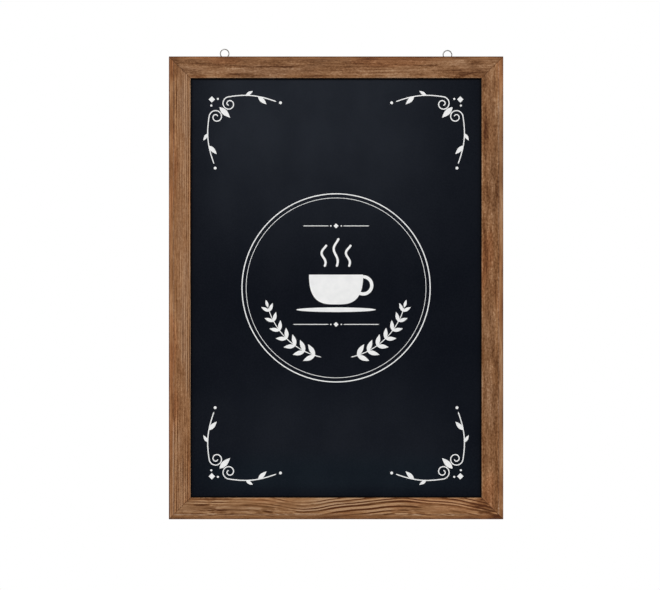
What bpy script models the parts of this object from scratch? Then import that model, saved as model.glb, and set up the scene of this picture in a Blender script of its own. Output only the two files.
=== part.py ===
"""A wall chalkboard: a black writing panel in a mitred wooden frame that hangs on two ring hangers.

The board faces -Y and hangs in front of the wall plane y = 0. The origin lies midway between the two
wall hooks, at the height where the rings' inner tops rest on them, with +Z up. All lengths are in metres.
"""

import math

import bmesh
import bpy
from mathutils import Matrix, Vector

# Board outline
BOARD_WIDTH = 0.604
BOARD_HEIGHT = 0.836

# Wooden moulding, one section for all four sides, with a shallow bevel along its outer front edge
MOULDING_WIDTH = 0.039
MOULDING_DEPTH = 0.018
LIP_DEPTH = 0.005
REBATE_WIDTH = 0.007
EDGE_BEVEL_WIDTH = 0.007
EDGE_BEVEL_DEPTH = 0.0022
BEVEL_EASING_RADIUS = 0.004
FRONT_ARRIS_RADIUS = 0.0014
BACK_ARRIS_RADIUS = 0.0008
MITRE_GAP = 0.0003

# Writing panel
PANEL_THICKNESS = 0.003
PANEL_EDGE_GAP = 0.001
PANEL_SEAT_GAP = 0.0003

# V-nails, driven from the back across each mitre
V_NAIL_RUN = 0.004
V_NAIL_LIP = 0.001
V_NAIL_SHEET = 0.0009
V_NAIL_DEPTH = 0.010
V_NAIL_SINK = 0.0003
V_NAIL_FIRST_PLACE = 0.013
V_NAIL_PITCH = 0.017

# Flat steel points that hold the panel in its rebate
POINT_BITE = 0.007
POINT_REACH = 0.008
POINT_WIDTH = 0.008
POINT_NOSE = 0.003
POINT_SHEET = 0.0008
POINT_SEAT_GAP = 0.0003
POINT_CORNER_DISTANCE = 0.075
POINTS_PER_RAIL = 3
POINTS_PER_STILE = 4

# Rings, and how far each pivot lies below the board's top edge
RING_SPACING = 0.404
RING_RADIUS = 0.0078
RING_WIRE_RADIUS = 0.00105
LEFT_PIVOT_DROP = 0.001
RIGHT_PIVOT_DROP = 0.0032

# Straps that hold the rings: a tongue folded round the wire, that widens to a round-ended plate
STRAP_SHEET = 0.0008
STRAP_TONGUE_WIDTH = 0.005
STRAP_PLATE_WIDTH = 0.012
STRAP_NECK_LENGTH = 0.0017
STRAP_SHOULDER_LENGTH = 0.0022
STRAP_HOLE_DISTANCE = 0.0046
STRAP_LOOP_CLEARANCE = 0.00015
STRAP_SEAT_GAP = 0.0001

# Strap screws
SCREW_SHANK_RADIUS = 0.0015
SCREW_HEAD_RADIUS = 0.003
SCREW_HEAD_HEIGHT = 0.002
SCREW_HEAD_EDGE = 0.0006
SCREW_LENGTH = 0.014
SCREW_TIP_LENGTH = 0.004
SCREW_TIP_RADIUS = 0.0002
SCREW_RECESS_WIDTH = 0.0007
SCREW_RECESS_SPAN = 0.0034
SCREW_RECESS_DEPTH = 0.0011
SCREW_SEAT_GAP = 0.0001
SCREW_CLEARANCE = 0.0002

# Clearance round a driven fastener in its slot, and how far a cutter runs past the face it opens
SLOT_CLEARANCE = 0.00015
CUTTER_OVERRUN = 0.001

# Facets
ARRIS_STEPS = 4
DOME_STEPS = 5
ROUND_STEPS = 32
RING_STEPS = 44
WIRE_STEPS = 12
WELD_DISTANCE = 1e-6

# The loop clears the ring's curved wire at the tongue's edges, at every angle of swing
WIRE_TILT = math.asin(STRAP_TONGUE_WIDTH / 2 / RING_RADIUS)
WIRE_SWEEP_RADIUS = RING_RADIUS * (1 - math.cos(WIRE_TILT)) + RING_WIRE_RADIUS / math.cos(WIRE_TILT)
LOOP_RADIUS = WIRE_SWEEP_RADIUS / math.cos(math.pi / ROUND_STEPS) + STRAP_LOOP_CLEARANCE
LOOP_OUTER_RADIUS = LOOP_RADIUS + STRAP_SHEET
NECK_DROP = LOOP_OUTER_RADIUS + STRAP_NECK_LENGTH
SHOULDER_DROP = NECK_DROP + STRAP_SHOULDER_LENGTH
HOLE_DROP = SHOULDER_DROP + STRAP_HOLE_DISTANCE

# Heights of the board's edges, from where the rings' inner tops rest on the hooks
HOOK_ABOVE_PIVOT = 2 * RING_RADIUS - RING_WIRE_RADIUS
TOP_Z = (LEFT_PIVOT_DROP + RIGHT_PIVOT_DROP) / 2 - HOOK_ABOVE_PIVOT
BOTTOM_Z = TOP_Z - BOARD_HEIGHT
MIDDLE = Vector((0, 0, (TOP_Z + BOTTOM_Z) / 2))

# Depths, from the wall plane forwards. The straps' loops touch the wall plane.
PIVOT_Y = -LOOP_OUTER_RADIUS
STRAP_SEAT_Y = PIVOT_Y - LOOP_OUTER_RADIUS
BACK_Y = STRAP_SEAT_Y - STRAP_SEAT_GAP
FRONT_Y = BACK_Y - MOULDING_DEPTH
PANEL_FRONT_Y = FRONT_Y + LIP_DEPTH + PANEL_SEAT_GAP
PANEL_BACK_Y = PANEL_FRONT_Y + PANEL_THICKNESS
POINT_Y = PANEL_BACK_Y + POINT_SEAT_GAP + POINT_SHEET / 2

# Wood left behind the lip, between the outer edge and the rebate
BACK_WIDTH = MOULDING_WIDTH - REBATE_WIDTH

# Each side's direction outwards in the board's plane
SIDES = {
    "top_rail": Vector((0, 0, 1)),
    "bottom_rail": Vector((0, 0, -1)),
    "left_stile": Vector((-1, 0, 0)),
    "right_stile": Vector((1, 0, 0)),
}

# How flat outlines stand up: as a section carried along a length in X, or as a shape seen from the front
ALONG_LENGTH = Matrix(((0, 0, 1, 0), (1, 0, 0, 0), (0, 1, 0, 0), (0, 0, 0, 1)))
SEEN_FROM_FRONT = Matrix.Rotation(math.radians(90), 4, "X")

# Turns a piece's +Z to the board's back
POINTING_BACK = Matrix.Rotation(math.radians(-90), 4, "X")


def clear_scene():
    for obj in list(bpy.data.objects):
        bpy.data.objects.remove(obj, do_unlink=True)


def new_collection(name, parent):
    collection = bpy.data.collections.new(name)
    parent.children.link(collection)
    return collection


def new_material(name, colour, roughness, metallic):
    material = bpy.data.materials.new(name)
    material.use_nodes = True
    shader = material.node_tree.nodes["Principled BSDF"]
    shader.inputs["Base Color"].default_value = (*colour, 1)
    shader.inputs["Roughness"].default_value = roughness
    shader.inputs["Metallic"].default_value = metallic
    return material


def arc(centre, radius, start, end, steps):
    """Points of an arc about centre, from the angle start to the angle end, in degrees."""
    angles = [math.radians(start + (end - start) * step / steps) for step in range(steps + 1)]
    return [centre + radius * Vector((math.cos(angle), math.sin(angle))) for angle in angles]


def rounded(corners, radii):
    """An outline with each corner turned into an arc of its radius. A radius of 0 keeps the corner."""
    outline = []
    for i, (corner, radius) in enumerate(zip(corners, radii)):
        if radius == 0:
            outline.append(corner)
            continue
        back = (corners[i - 1] - corner).normalized()
        on = (corners[(i + 1) % len(corners)] - corner).normalized()
        half = back.angle(on) / 2
        centre = corner + (back + on).normalized() * radius / math.sin(half)
        start = (corner + back * radius / math.tan(half) - centre).normalized()
        end = (corner + on * radius / math.tan(half) - centre).normalized()
        for step in range(ARRIS_STEPS + 1):
            outline.append(centre + start.slerp(end, step / ARRIS_STEPS) * radius)
    return outline


def right_hand(way):
    return Vector((way.y, -way.x)).normalized()


def corner_offset(before, after):
    """How far a corner moves when both its sides move to the right by one."""
    first, second = right_hand(before), right_hand(after)
    return (first + second) / (1 + first.dot(second))


def grown(outline, distance):
    """An anticlockwise outline with every side moved outwards."""
    moved = []
    for i, corner in enumerate(outline):
        before = corner - outline[i - 1]
        after = outline[(i + 1) % len(outline)] - corner
        moved.append(corner + corner_offset(before, after) * distance)
    return moved


def bent_strip(path, thickness):
    """The outline, anticlockwise, of a strip of sheet that follows a path of straight runs."""
    runs = [end - start for start, end in zip(path, path[1:])]
    offsets = [corner_offset(before, after) for before, after in zip(runs[:1] + runs, runs + runs[-1:])]
    right = [point + offset * thickness / 2 for point, offset in zip(path, offsets)]
    left = [point - offset * thickness / 2 for point, offset in zip(path, offsets)]
    return right + left[::-1]


def close_mesh(mesh):
    """Welds loose caps to their sides and turns all faces outwards."""
    edit = bmesh.new()
    edit.from_mesh(mesh)
    bmesh.ops.remove_doubles(edit, verts=edit.verts, dist=WELD_DISTANCE)
    bmesh.ops.recalc_face_normals(edit, faces=edit.faces)
    edit.to_mesh(mesh)
    edit.free()


def made_solid(name, drawn, stand_up):
    """A mesh object of what a curve or a modified mesh shows, stood up. The drawn object is removed."""
    bpy.context.scene.collection.objects.link(drawn)
    graph = bpy.context.evaluated_depsgraph_get()
    mesh = bpy.data.meshes.new_from_object(drawn.evaluated_get(graph))
    bpy.data.objects.remove(drawn)
    mesh.name = name
    mesh.transform(stand_up)
    close_mesh(mesh)
    return bpy.data.objects.new(name, mesh)


def extruded(name, outlines, thickness, stand_up):
    """Flat outlines given a thickness. An outline inside another is a hole."""
    curve = bpy.data.curves.new(name, "CURVE")
    curve.dimensions = "2D"
    curve.fill_mode = "BOTH"
    curve.extrude = thickness / 2
    for outline in outlines:
        spline = curve.splines.new("POLY")
        spline.points.add(len(outline) - 1)
        spline.use_cyclic_u = True
        for point, place in zip(spline.points, outline):
            point.co = (place.x, place.y, 0, 1)
    return made_solid(name, bpy.data.objects.new(name, curve), stand_up)


def turned(name, profile, stand_up):
    """A profile of (radius, height) points, from top to bottom, turned about the Z axis."""
    mesh = bpy.data.meshes.new(name)
    points = [(radius, 0, height) for radius, height in profile]
    mesh.from_pydata(points, [(i, i + 1) for i in range(len(points) - 1)], [])
    drawn = bpy.data.objects.new(name, mesh)
    spin = drawn.modifiers.new("turn", "SCREW")
    spin.steps = ROUND_STEPS
    spin.render_steps = ROUND_STEPS
    spin.use_merge_vertices = True
    spin.merge_threshold = WELD_DISTANCE
    return made_solid(name, drawn, stand_up)


def drill(name, radius, start, end):
    """A round cutter along Y, from start to end."""
    mesh = bpy.data.meshes.new(name)
    edit = bmesh.new()
    length = end - start
    bmesh.ops.create_cone(
        edit, cap_ends=True, segments=ROUND_STEPS, radius1=radius, radius2=radius, depth=length
    )
    edit.to_mesh(mesh)
    edit.free()
    mesh.transform(Matrix.Translation((0, (start + end) / 2, 0)) @ POINTING_BACK)
    return bpy.data.objects.new(name, mesh)


def trim(mesh, point, outwards):
    """Removes what lies beyond a plane and closes the cut."""
    edit = bmesh.new()
    edit.from_mesh(mesh)
    everything = edit.verts[:] + edit.edges[:] + edit.faces[:]
    bmesh.ops.bisect_plane(edit, geom=everything, plane_co=point, plane_no=outwards, clear_outer=True)
    bmesh.ops.holes_fill(edit, edges=[edge for edge in edit.edges if edge.is_boundary])
    bmesh.ops.recalc_face_normals(edit, faces=edit.faces)
    edit.to_mesh(mesh)
    edit.free()


def make_cutter(obj, collections, location=(0, 0, 0), turn=0):
    obj.location = location
    obj.rotation_euler.y = turn
    obj.hide_render = True
    obj.display_type = "WIRE"
    for collection in collections:
        collection.objects.link(obj)


def add_boolean(obj, operation, cutter):
    """Cuts by one object, or by all the objects of a collection."""
    step = obj.modifiers.new(cutter.name, "BOOLEAN")
    step.operation = operation
    step.solver = "EXACT"
    if isinstance(cutter, bpy.types.Collection):
        step.operand_type = "COLLECTION"
        step.collection = cutter
    else:
        step.object = cutter


def shade(obj):
    """Smooth round faces, with flat faces kept flat up to their eased edges."""
    obj.data.shade_smooth()
    obj.data.set_sharp_from_angle(angle=math.radians(35))
    weighting = obj.modifiers.new("flat faces first", "WEIGHTED_NORMAL")
    weighting.keep_sharp = True


def moulding_section():
    """Depth from the front face, and distance from the outer edge, which is at 0 with the wood below it."""
    corners = [
        Vector((EDGE_BEVEL_DEPTH, 0)),
        Vector((0, -EDGE_BEVEL_WIDTH)),
        Vector((0, -MOULDING_WIDTH)),
        Vector((LIP_DEPTH, -MOULDING_WIDTH)),
        Vector((LIP_DEPTH, -BACK_WIDTH)),
        Vector((MOULDING_DEPTH, -BACK_WIDTH)),
        Vector((MOULDING_DEPTH, 0)),
    ]
    front = [FRONT_ARRIS_RADIUS, BEVEL_EASING_RADIUS, FRONT_ARRIS_RADIUS]
    back = [BACK_ARRIS_RADIUS, BACK_ARRIS_RADIUS]
    return rounded(corners, front + [0, 0] + back)


def side_length(outwards):
    return BOARD_WIDTH if outwards.z else BOARD_HEIGHT


def side_place(outwards, inset, depth, along=0):
    """A place on a side: inset from its outer edge, at a depth, and along it from its middle."""
    half = (BOARD_HEIGHT if outwards.z else BOARD_WIDTH) / 2
    lengthwise = Vector((outwards.z, 0, -outwards.x))
    return MIDDLE + outwards * (half - inset) + lengthwise * along + Vector((0, depth, 0))


def turn_outwards(outwards):
    """The turn about Y that points local +Z outwards."""
    return math.atan2(outwards.x, outwards.z)


def frame_side(name, outwards, slots):
    """One length of moulding, mitred at both ends and slotted for what is driven into it."""
    length = side_length(outwards)
    obj = extruded(name, [moulding_section()], length, ALONG_LENGTH)
    for end in (-1, 1):
        outer_corner = Vector((end * (length / 2 - MITRE_GAP / math.sqrt(2)), 0, 0))
        trim(obj.data, outer_corner, Vector((end, 0, -1)).normalized())
    add_boolean(obj, "DIFFERENCE", slots)
    return obj


def writing_panel():
    """A flat sheet that stands in the rebate, clear of its walls."""
    margin = 2 * (BACK_WIDTH + PANEL_EDGE_GAP)
    mesh = bpy.data.meshes.new("writing_panel")
    edit = bmesh.new()
    bmesh.ops.create_cube(edit, size=1)
    size = (BOARD_WIDTH - margin, PANEL_THICKNESS, BOARD_HEIGHT - margin)
    bmesh.ops.scale(edit, vec=size, verts=edit.verts)
    edit.to_mesh(mesh)
    edit.free()
    return bpy.data.objects.new("writing_panel", mesh)


def v_nail_outline():
    """The apex is at 0 and the two legs open towards +X, each with a lip at its end."""
    path = [
        Vector((V_NAIL_RUN + V_NAIL_LIP, -V_NAIL_RUN)),
        Vector((V_NAIL_RUN, -V_NAIL_RUN)),
        Vector((0, 0)),
        Vector((V_NAIL_RUN, V_NAIL_RUN)),
        Vector((V_NAIL_RUN + V_NAIL_LIP, V_NAIL_RUN)),
    ]
    return bent_strip(path, V_NAIL_SHEET)


def point_outline():
    """The rebate's wall is at y = 0, and the nose is driven into the wood at +Y."""
    half = POINT_WIDTH / 2
    cheek = POINT_BITE - POINT_NOSE
    return [
        Vector((-half, -POINT_REACH)),
        Vector((half, -POINT_REACH)),
        Vector((half, cheek)),
        Vector((0, POINT_BITE)),
        Vector((-half, cheek)),
    ]


def strap_side_outlines():
    """Depth from the frame's back, and height from the pivot: two layers of sheet that part into a loop."""
    layers = 2 * STRAP_SHEET
    centre = Vector((LOOP_OUTER_RADIUS, 0))
    neck = Vector((layers, -NECK_DROP))
    foot = -HOLE_DROP - STRAP_PLATE_WIDTH / 2 - CUTTER_OVERRUN
    to_neck = neck - centre
    start = math.atan2(to_neck.y, to_neck.x) + math.acos(LOOP_OUTER_RADIUS / to_neck.length)
    loop = arc(centre, LOOP_OUTER_RADIUS, math.degrees(start), 180, ROUND_STEPS)
    bore = arc(centre, LOOP_RADIUS, 0, 360, ROUND_STEPS)[:-1]
    return [[Vector((0, foot)), Vector((layers, foot)), neck] + loop, bore]


def strap_face_outline():
    """Seen from the front: the narrow tongue, the shoulders and the plate's round end."""
    tongue = STRAP_TONGUE_WIDTH / 2
    plate = STRAP_PLATE_WIDTH / 2
    shoulder = [
        Vector((plate, -SHOULDER_DROP)),
        Vector((tongue, -NECK_DROP)),
        Vector((tongue, LOOP_OUTER_RADIUS + CUTTER_OVERRUN)),
    ]
    other_shoulder = [Vector((-point.x, point.y)) for point in reversed(shoulder)]
    return shoulder + other_shoulder + arc(Vector((0, -HOLE_DROP)), plate, 180, 360, ROUND_STEPS // 2)


def strap(name, cutters):
    """The strap's origin is level with the pivot, on the frame's back."""
    obj = extruded(name, strap_side_outlines(), STRAP_PLATE_WIDTH, ALONG_LENGTH)
    reach = 2 * LOOP_OUTER_RADIUS + CUTTER_OVERRUN
    face = extruded(name + "_face", [strap_face_outline()], 2 * reach, SEEN_FROM_FRONT)
    make_cutter(face, [cutters])
    bore = SCREW_SHANK_RADIUS + SCREW_CLEARANCE
    hole = drill(name + "_hole", bore, -CUTTER_OVERRUN, 2 * STRAP_SHEET + CUTTER_OVERRUN)
    make_cutter(hole, [cutters], (0, 0, -HOLE_DROP))
    add_boolean(obj, "INTERSECT", face)
    add_boolean(obj, "DIFFERENCE", hole)
    face.parent = obj
    hole.parent = obj
    return obj


def cross_outline():
    """A plus sign, anticlockwise."""
    near = SCREW_RECESS_WIDTH / 2
    far = SCREW_RECESS_SPAN / 2
    arm = [Vector((far, -near)), Vector((far, near)), Vector((near, near))]
    turns = [Matrix.Rotation(math.radians(90 * quarter), 2) for quarter in range(4)]
    return [turn @ point for turn in turns for point in arm]


def screw(name, cutters):
    """A pan-head wood screw with a cross recess. Its head's underside is at y = 0, and it points to -Y."""
    dome_height = SCREW_HEAD_HEIGHT - SCREW_HEAD_EDGE
    angles = [math.radians(90 * step / DOME_STEPS) for step in range(DOME_STEPS + 1)]
    dome = [
        (SCREW_HEAD_RADIUS * math.sin(angle), SCREW_HEAD_EDGE + dome_height * math.cos(angle))
        for angle in angles
    ]
    shank = [
        (SCREW_HEAD_RADIUS, 0),
        (SCREW_SHANK_RADIUS, 0),
        (SCREW_SHANK_RADIUS, SCREW_TIP_LENGTH - SCREW_LENGTH),
        (SCREW_TIP_RADIUS, -SCREW_LENGTH),
        (0, -SCREW_LENGTH),
    ]
    obj = turned(name, dome + shank, POINTING_BACK)
    recess = extruded(name + "_recess", [cross_outline()], 2 * SCREW_RECESS_DEPTH, SEEN_FROM_FRONT)
    make_cutter(recess, [cutters], (0, SCREW_HEAD_HEIGHT, 0))
    add_boolean(obj, "DIFFERENCE", recess)
    recess.parent = obj
    return obj


def ring(name):
    """A wire ring that stands on its pivot, which is its origin."""
    bpy.ops.mesh.primitive_torus_add(
        major_radius=RING_RADIUS,
        minor_radius=RING_WIRE_RADIUS,
        major_segments=RING_STEPS,
        minor_segments=WIRE_STEPS,
    )
    obj = bpy.context.object
    obj.users_collection[0].objects.unlink(obj)
    obj.name = name
    obj.data.name = name
    obj.data.transform(Matrix.Translation((0, 0, RING_RADIUS)) @ SEEN_FROM_FRONT)
    return obj


def place(obj, board, material, location, turn=0):
    """Adds a finished piece to the board, turned about Y."""
    for collection in board.users_collection:
        collection.objects.link(obj)
    obj.parent = board
    obj.location = location
    obj.rotation_euler.y = turn
    obj.data.materials.clear()
    obj.data.materials.append(material)
    shade(obj)


def add_frame(board, wood, slots):
    for name, outwards in SIDES.items():
        obj = frame_side(name, outwards, slots[name])
        place(obj, board, wood, side_place(outwards, 0, FRONT_Y), turn_outwards(outwards))


def add_v_nails(board, steel, slots):
    """Two at each corner, placed along the mitre from the outer corner."""
    outline = v_nail_outline()
    head_y = BACK_Y - V_NAIL_SINK
    slot_depth = V_NAIL_SINK + V_NAIL_DEPTH + SLOT_CLEARANCE + CUTTER_OVERRUN
    slot_y = BACK_Y + CUTTER_OVERRUN - slot_depth / 2
    for rail, up in (("top_rail", 1), ("bottom_rail", -1)):
        for stile, across in (("left_stile", -1), ("right_stile", 1)):
            corner = MIDDLE + Vector((across * BOARD_WIDTH / 2, 0, up * BOARD_HEIGHT / 2))
            inwards = Vector((-across, 0, -up)).normalized()
            turn = math.atan2(-inwards.z, inwards.x)
            corner_name = rail.split("_")[0] + "_" + stile.split("_")[0]
            for number, order in enumerate(("outer", "inner")):
                at = corner + inwards * (V_NAIL_FIRST_PLACE + V_NAIL_PITCH * number)
                name = f"v_nail_{corner_name}_{order}"
                obj = extruded(name, [outline], V_NAIL_DEPTH, SEEN_FROM_FRONT)
                place(obj, board, steel, (at.x, head_y - V_NAIL_DEPTH / 2, at.z), turn)
                slot = extruded(name + "_slot", [grown(outline, SLOT_CLEARANCE)], slot_depth, SEEN_FROM_FRONT)
                make_cutter(slot, [slots[rail], slots[stile]], (at.x, slot_y, at.z), turn)


def add_panel_points(board, steel, slots):
    """Evenly along each side, between two that lie a set distance from the opening's corners."""
    outline = point_outline()
    slot_height = POINT_SHEET + 2 * SLOT_CLEARANCE
    for side, outwards in SIDES.items():
        count = POINTS_PER_RAIL if outwards.z else POINTS_PER_STILE
        reach = side_length(outwards) / 2 - BACK_WIDTH - POINT_CORNER_DISTANCE
        for number in range(count):
            along = reach * (2 * number / (count - 1) - 1)
            at = side_place(outwards, BACK_WIDTH, POINT_Y, along)
            turn = turn_outwards(outwards)
            name = f"panel_point_{side.split('_')[0]}_{number + 1}"
            obj = extruded(name, [outline], POINT_SHEET, SEEN_FROM_FRONT)
            place(obj, board, steel, at, turn)
            slot = extruded(name + "_slot", [grown(outline, SLOT_CLEARANCE)], slot_height, SEEN_FROM_FRONT)
            make_cutter(slot, [slots[side]], at, turn)


def add_hanger(hand, across, pivot_drop, board, zinc, cutters, slots):
    """A strap, the screw that holds it to the top rail, and the ring that swings in its loop."""
    x = across * RING_SPACING / 2
    pivot_z = TOP_Z - pivot_drop
    screw_z = pivot_z - HOLE_DROP
    head_y = STRAP_SEAT_Y + 2 * STRAP_SHEET + SCREW_SEAT_GAP
    place(strap("hanger_strap_" + hand, cutters), board, zinc, (x, STRAP_SEAT_Y, pivot_z))
    place(screw("hanger_screw_" + hand, cutters), board, zinc, (x, head_y, screw_z))
    place(ring("hanger_ring_" + hand), board, zinc, (x, PIVOT_Y, pivot_z))
    bore = SCREW_SHANK_RADIUS + SCREW_CLEARANCE
    pilot = drill(
        "pilot_hole_" + hand, bore, head_y - SCREW_LENGTH - SCREW_CLEARANCE, BACK_Y + CUTTER_OVERRUN
    )
    make_cutter(pilot, [slots["top_rail"]], (x, 0, screw_z))


def main():
    clear_scene()
    parts = new_collection("wall_chalkboard", bpy.context.scene.collection)
    cutters = new_collection("cutters", bpy.context.scene.collection)
    slots = {side: new_collection("slots in " + side, cutters) for side in SIDES}

    wood = new_material("stained pine", (0.26, 0.13, 0.06), 0.6, 0.0)
    lacquer = new_material("black panel lacquer", (0.012, 0.014, 0.019), 0.5, 0.0)
    steel = new_material("bright steel sheet", (0.55, 0.55, 0.55), 0.4, 1.0)
    zinc = new_material("zinc-plated steel", (0.62, 0.62, 0.60), 0.35, 1.0)

    board = bpy.data.objects.new("board", None)
    parts.objects.link(board)
    add_frame(board, wood, slots)
    place(writing_panel(), board, lacquer, MIDDLE + Vector((0, (PANEL_FRONT_Y + PANEL_BACK_Y) / 2, 0)))
    add_v_nails(board, steel, slots)
    add_panel_points(board, steel, slots)
    add_hanger("left", -1, LEFT_PIVOT_DROP, board, zinc, cutters, slots)
    add_hanger("right", 1, RIGHT_PIVOT_DROP, board, zinc, cutters, slots)


main()
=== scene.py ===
import math

import bmesh
import bpy
import numpy as np
from mathutils import Matrix, Vector


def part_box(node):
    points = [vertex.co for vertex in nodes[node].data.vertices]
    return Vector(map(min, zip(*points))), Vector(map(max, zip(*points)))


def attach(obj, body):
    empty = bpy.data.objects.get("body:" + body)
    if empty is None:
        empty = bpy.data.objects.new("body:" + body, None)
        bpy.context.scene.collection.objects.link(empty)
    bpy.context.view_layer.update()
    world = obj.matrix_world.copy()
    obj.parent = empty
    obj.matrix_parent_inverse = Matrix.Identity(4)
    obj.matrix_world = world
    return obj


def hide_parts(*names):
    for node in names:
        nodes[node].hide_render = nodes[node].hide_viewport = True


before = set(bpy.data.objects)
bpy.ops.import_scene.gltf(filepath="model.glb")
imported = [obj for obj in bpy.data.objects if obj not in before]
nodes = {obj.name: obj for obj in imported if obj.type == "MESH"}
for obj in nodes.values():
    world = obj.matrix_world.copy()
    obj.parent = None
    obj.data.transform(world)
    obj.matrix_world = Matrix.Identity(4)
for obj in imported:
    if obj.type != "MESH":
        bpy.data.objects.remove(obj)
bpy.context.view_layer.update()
scene = bpy.context.scene
print("frame loaded:", len(nodes), "nodes")

# the board's size
topLow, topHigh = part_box("top_rail")
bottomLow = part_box("bottom_rail")[0]
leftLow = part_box("left_stile")[0]
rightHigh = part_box("right_stile")[1]
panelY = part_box("writing_panel")[0].y
halfWidth = (rightHigh.x - leftLow.x) / 2
halfHeight = (topHigh.z - bottomLow.z) / 2
middle = Vector((0, 0, (topHigh.z + bottomLow.z) / 2))
frontY = topLow.y
faceWidth = topHigh.z - topLow.z
openHalfWidth = halfWidth - faceWidth
openHalfHeight = halfHeight - faceWidth

# how near points are merged, and from what angle in degrees an edge stays sharp
merging = {"new piece": 1e-7, "copy": 1e-6}
sharpFrom = {"new piece": 40, "copy": 35}


def addObject(name, data):
    added = bpy.data.objects.new(name, data)
    scene.collection.objects.link(added)
    return added


def joinPoints(mesh, distance, faceOutwards=False):
    tidy = bmesh.new()
    tidy.from_mesh(mesh)
    bmesh.ops.remove_doubles(tidy, verts=tidy.verts, dist=distance)
    if faceOutwards:
        bmesh.ops.recalc_face_normals(tidy, faces=tidy.faces)
    tidy.to_mesh(mesh)
    tidy.free()


def shadeSmooth(mesh, degrees):
    mesh.shade_smooth()
    mesh.set_sharp_from_angle(angle=math.radians(degrees))


def newPiece(name, points, faces, material, body="board", smooth=True):
    mesh = bpy.data.meshes.new(name)
    mesh.from_pydata(points, [], faces)
    joinPoints(mesh, merging["new piece"], faceOutwards=True)
    mesh.materials.append(material)
    if smooth:
        shadeSmooth(mesh, sharpFrom["new piece"])
    piece = addObject(name, mesh)
    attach(piece, body)
    return piece


def gridFaces(rows, columns, rowsMeet=False, capped=True):
    # quads between the neighbours of a grid of points whose rows are closed loops, and caps on its loose ends
    down = np.arange(rows if rowsMeet else rows - 1)[:, None]
    over = np.arange(columns)[None, :]
    nextDown = (down + 1) % rows
    nextOver = (over + 1) % columns
    corners = (down * columns + over, down * columns + nextOver,
               nextDown * columns + nextOver, nextDown * columns + over)
    faces = np.stack(np.broadcast_arrays(*corners), axis=-1).reshape(-1, 4).tolist()
    if capped and not rowsMeet:
        faces += [list(range(columns)), list(range((rows - 1) * columns, rows * columns))]
    return faces


def smoothedCopy(nodeName, pieceName, material):
    # the node's own surface with its loose triangles joined, so that its round parts can be shaded smooth
    mesh = nodes[nodeName].data.copy()
    mesh.name = pieceName
    if "custom_normal" in mesh.attributes:
        mesh.attributes.remove(mesh.attributes["custom_normal"])
    joinPoints(mesh, merging["copy"])
    shadeSmooth(mesh, sharpFrom["copy"])
    mesh.materials.clear()
    mesh.materials.append(material)
    piece = addObject(pieceName, mesh)
    piece.modifiers.new("flat faces first", "WEIGHTED_NORMAL").keep_sharp = True
    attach(piece, "board")
    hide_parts(nodeName)


def feed(tree, socket, value):
    if isinstance(value, bpy.types.NodeSocket):
        tree.links.new(value, socket)
    else:
        socket.default_value = value


def addNode(tree, kind, feeds=None, **settings):
    node = tree.nodes.new("ShaderNode" + kind)
    for name, value in settings.items():
        setattr(node, name, value)
    for socket, value in (feeds or {}).items():
        feed(tree, node.inputs[socket], value)
    return node


def calc(tree, operation, *values):
    return addNode(tree, "Math", dict(enumerate(values)), operation=operation).outputs[0]


def vectorCalc(tree, operation, *values):
    return addNode(tree, "VectorMath", dict(enumerate(values)), operation=operation).outputs


def stretched(tree, place, factors):
    return vectorCalc(tree, "MULTIPLY", place, factors)[0]


def parted(tree, place):
    return addNode(tree, "SeparateXYZ", {0: place}).outputs


def noise(tree, place, detail=2.0, roughness=0.5, scale=1.0):
    feeds = {"Vector": place, "Scale": scale, "Detail": detail, "Roughness": roughness}
    return addNode(tree, "TexNoise", feeds).outputs[0]


def rise(tree, value, low, high, bottom=0.0, top=1.0):
    # a soft step, from bottom where the value is low to top where it is high
    feeds = {"Value": value, "From Min": low, "From Max": high, "To Min": bottom, "To Max": top}
    return addNode(tree, "MapRange", feeds, interpolation_type="SMOOTHSTEP").outputs[0]


def blend(tree, amount, first, second, mode="MIX"):
    feeds = {0: amount, 6: first, 7: second}
    return addNode(tree, "Mix", feeds, data_type="RGBA", blend_type=mode).outputs[2]


def timesPlus(tree, value, factor, added):
    return calc(tree, "MULTIPLY_ADD", value, factor, added)


def times(tree, value, *factors):
    for factor in factors:
        value = calc(tree, "MULTIPLY", value, factor)
    return value


def centred(tree, value):
    return calc(tree, "SUBTRACT", value, 0.5)


def inverted(tree, value):
    return calc(tree, "SUBTRACT", 1.0, value)


def tinted(tree, colour, tint):
    return blend(tree, 1.0, colour, tint, "MULTIPLY")


def band(tree, value, steps):
    # up softly from nought to one between the first two steps, and down again between the last two
    start, full, falling, end = steps
    return times(tree, rise(tree, value, start, full), rise(tree, value, falling, end, 1.0, 0.0))


def layered(tree, value, layers, strengths):
    # adds each named layer to the value at its own strength
    for name, strength in strengths.items():
        value = timesPlus(tree, layers[name], strength, value)
    return value


def newGroup(name, takes, gives):
    tree = bpy.data.node_groups.new(name, "ShaderNodeTree")
    for label, value in takes.items():
        kind = "NodeSocketFloat"
        if isinstance(value, tuple):
            kind = "NodeSocketColor" if len(value) == 4 else "NodeSocketVector"
        socket = tree.interface.new_socket(label, in_out="INPUT", socket_type=kind)
        socket.default_value = value
    for label, kind in gives.items():
        tree.interface.new_socket(label, in_out="OUTPUT", socket_type="NodeSocket" + kind)
    return tree, tree.nodes.new("NodeGroupInput").outputs, tree.nodes.new("NodeGroupOutput").inputs


def newMaterial(name, **fixed):
    # fixed values go straight onto the Principled shader
    material = bpy.data.materials.new(name)
    material.use_nodes = True
    tree = material.node_tree
    shader = tree.nodes["Principled BSDF"]
    for label, value in fixed.items():
        shader.inputs[label.replace("_", " ")].default_value = value
    place = addNode(tree, "TexCoord").outputs["Object"]
    return material, tree, shader, place


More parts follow.
